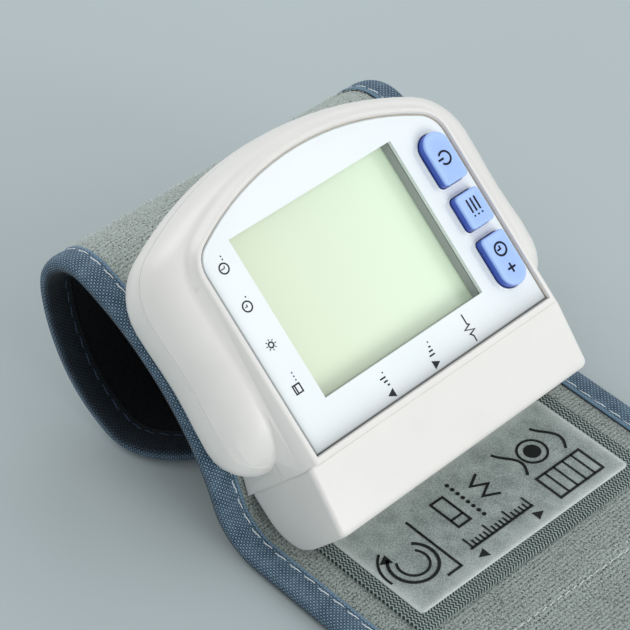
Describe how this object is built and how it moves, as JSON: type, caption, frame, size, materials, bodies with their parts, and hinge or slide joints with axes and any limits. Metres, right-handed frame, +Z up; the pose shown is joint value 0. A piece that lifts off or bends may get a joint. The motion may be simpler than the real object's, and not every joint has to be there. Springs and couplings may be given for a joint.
{
  "type": "wrist blood pressure monitor",
  "caption": "Wrist blood pressure monitor: a tilted ivory housing with display, push buttons and battery cover, standing on its own folded hook-and-loop cuff with a C-shaped sprung loop.",
  "frame": {"origin": "bottom centre of the whole part's box, on the surface it stands on", "axes": "+X from the cuff's loose end to its loop, the way the display's arched end points when seen from above; +Y towards the top edge of the display; +Z up"},
  "size_m": [0.2076, 0.0802, 0.0592],
  "materials": {
    "ivory": "semi-gloss moulded",
    "panel_white": "gloss with printed marks",
    "display_green": "gloss display window",
    "frame_grey": "matt moulded",
    "button_blue": "semi-gloss moulded",
    "board_green": "solder mask",
    "black_plastic": "matt moulded",
    "steel": "bright",
    "silicone": "soft clear tube",
    "cell_wrap": "gloss printed wrap",
    "cloth_grey": "brushed loop knit",
    "binding_blue": "woven tape",
    "lining_navy": "woven nylon",
    "label_grey": "printed satin",
    "mesh_green": "woven zigzag mesh",
    "spring_plate": "matt sheet",
    "bladder_blue": "coated sheet",
    "hook_black": "moulded hooks on tape"
  },
  "bodies": {
    "monitor_and_cuff": {"front_case": "ivory", "back_case": "ivory", "face_panel": "panel_white", "lcd_frame": "frame_grey", "lcd_glass": "display_green", "circuit_board": "board_green", "controller_chip": "black_plastic", "tact_switch_1": "black_plastic", "tact_switch_2": "black_plastic", "tact_switch_3": "black_plastic", "battery_tray": "ivory", "battery_1": "cell_wrap", "battery_2": "cell_wrap", "contact_spring_1": "steel", "contact_spring_2": "steel", "contact_plate_1": "steel", "contact_plate_2": "steel", "pump_motor": "steel", "pump_head": "black_plastic", "release_valve": "steel", "pressure_sensor": "black_plastic", "air_manifold": "spring_plate", "buzzer": "black_plastic", "pump_tube": "silicone", "valve_tube": "silicone", "sensor_tube": "silicone", "case_screw_1": "steel", "case_screw_2": "steel", "case_screw_3": "steel", "case_screw_4": "steel", "cuff_outer_cloth": "cloth_grey", "cuff_stiffener": "spring_plate", "air_bladder": "bladder_blue", "cuff_lining": "lining_navy", "cuff_binding": "binding_blue"},
    "time_button": {"time_button": "button_blue"},
    "memory_button": {"memory_button": "button_blue"},
    "power_button": {"power_button": "button_blue"},
    "battery_cover": {"battery_cover": "ivory"},
    "cuff_tail": {"tail_outer_cloth": "cloth_grey", "tail_bladder": "bladder_blue", "tail_lining": "lining_navy", "tail_binding_left": "binding_blue", "tail_binding_right": "binding_blue", "label_mesh_frame": "mesh_green", "instruction_label": "label_grey"},
    "cuff_flap": {"flap_outer_cloth": "cloth_grey", "flap_interlining": "bladder_blue", "flap_lining": "lining_navy", "flap_binding": "binding_blue", "hook_patch": "hook_black"}
  },
  "joints": [
    {"name": "time_press", "type": "slide", "parent": "monitor_and_cuff", "child": "time_button", "axis": [0.6441, 0, -0.7649], "range_m": [0, 0.0006], "stiffness_N_per_m": 400},
    {"name": "memory_press", "type": "slide", "parent": "monitor_and_cuff", "child": "memory_button", "axis": [0.6441, 0, -0.7649], "range_m": [0, 0.0006], "stiffness_N_per_m": 400},
    {"name": "power_press", "type": "slide", "parent": "monitor_and_cuff", "child": "power_button", "axis": [0.6441, 0, -0.7649], "range_m": [0, 0.0006], "stiffness_N_per_m": 400},
    {"name": "battery_cover_lift", "type": "slide", "parent": "monitor_and_cuff", "child": "battery_cover", "axis": [-0.6441, 0, 0.7649], "range_m": [0, 0.024]},
    {"name": "tail_fold", "type": "hinge", "parent": "monitor_and_cuff", "child": "cuff_tail", "pos_m": [0.04304, 0, 0.00165], "axis": [0, 1, 0], "range_deg": [-60, 1]},
    {"name": "flap_fold", "type": "hinge", "parent": "cuff_tail", "child": "cuff_flap", "pos_m": [0.00124, 0, 0.00105], "axis": [0, 1, 0], "range_deg": [-60, 60]}
  ]
}
